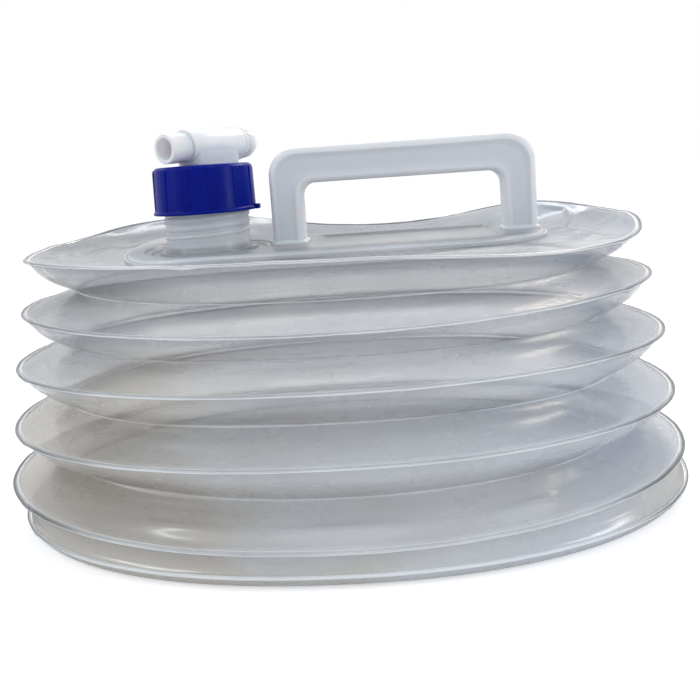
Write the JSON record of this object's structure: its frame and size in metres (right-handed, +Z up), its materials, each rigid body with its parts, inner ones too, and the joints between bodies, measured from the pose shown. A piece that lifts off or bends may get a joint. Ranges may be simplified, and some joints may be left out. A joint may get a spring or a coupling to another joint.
{
  "type": "collapsible water carrier",
  "caption": "Collapsible oval water carrier: clear film folds on a flat base, a screw neck with a blue cap nut and a turning spout, and a bar handle on top.",
  "frame": {"origin": "centre of the base oval on the floor", "axes": "+X along the long side towards the handle's far end, +Z up, -Y the side seen in the picture"},
  "size_m": [0.3552, 0.2142, 0.1965],
  "materials": {
    "clear_film": "clear soft film, glossy and slightly wrinkled",
    "film_weld": "sealed film edge, glossy",
    "milky_plastic": "milky moulded plastic, satin",
    "blue_plastic": "deep blue moulded plastic, semi gloss",
    "white_plastic": "translucent white moulded plastic, semi gloss",
    "seal_rubber": "matt rubber"
  },
  "bodies": {
    "base": {"base_panel": "clear_film", "base_wall": "clear_film", "base_weld": "film_weld", "crest_weld_1": "film_weld", "fold_1_lower_film": "clear_film", "fold_1_upper_film": "clear_film"},
    "crest_2": {"crest_weld_2": "film_weld", "fold_2_lower_film": "clear_film", "fold_2_upper_film": "clear_film"},
    "crest_3": {"crest_weld_3": "film_weld", "fold_3_lower_film": "clear_film", "fold_3_upper_film": "clear_film"},
    "crest_4": {"crest_weld_4": "film_weld", "fold_4_lower_film": "clear_film", "fold_4_upper_film": "clear_film"},
    "top": {"crest_weld_5": "film_weld", "top_film": "clear_film", "mouth_moulding": "milky_plastic", "handle": "milky_plastic"},
    "tap": {"tap_body": "white_plastic", "gasket": "seal_rubber"},
    "cap": {"cap_nut": "blue_plastic"},
    "valve": {"spout": "white_plastic", "spout_end_cap": "white_plastic", "o_ring_1": "seal_rubber", "o_ring_2": "seal_rubber"}
  },
  "joints": [
    {"name": "fold_1_close", "type": "slide", "parent": "base", "child": "crest_2", "axis": [0, 0, 1], "range_m": [-0.01791, 0.01221], "deforming": ["fold_1_lower_film", "fold_1_upper_film"]},
    {"name": "fold_2_close", "type": "slide", "parent": "crest_2", "child": "crest_3", "axis": [0, 0, 1], "range_m": [-0.02003, 0.01366], "deforming": ["fold_2_lower_film", "fold_2_upper_film"]},
    {"name": "fold_3_close", "type": "slide", "parent": "crest_3", "child": "crest_4", "axis": [0, 0, 1], "range_m": [-0.01545, 0.01054], "deforming": ["fold_3_lower_film", "fold_3_upper_film"]},
    {"name": "fold_4_close", "type": "slide", "parent": "crest_4", "child": "top", "axis": [0, 0, 1], "range_m": [-0.01267, 0.00864], "deforming": ["fold_4_lower_film", "fold_4_upper_film"]},
    {"name": "tap_lift", "type": "slide", "parent": "top", "child": "tap", "axis": [0, 0, 1], "range_m": [-0.00001, 0.01761]},
    {"name": "cap_unscrew", "type": "hinge", "parent": "tap", "child": "cap", "pos_m": [-0.06541, 0, 0.1509], "axis": [0, 0, 1], "range_deg": [0, 1440]},
    {"name": "spout_turn", "type": "hinge", "parent": "tap", "child": "valve", "pos_m": [-0.06541, 0, 0.18594], "axis": [0.5441, 0.8378, 0.0454], "range_deg": [0, 90]}
  ],
  "couplings": [
    {"joint": "fold_2_close", "follows": "fold_1_close", "ratio": 1.1183},
    {"joint": "fold_3_close", "follows": "fold_1_close", "ratio": 0.8622},
    {"joint": "fold_4_close", "follows": "fold_1_close", "ratio": 0.707},
    {"joint": "tap_lift", "follows": "cap_unscrew", "m_per_rad": 0.0007003}
  ]
}
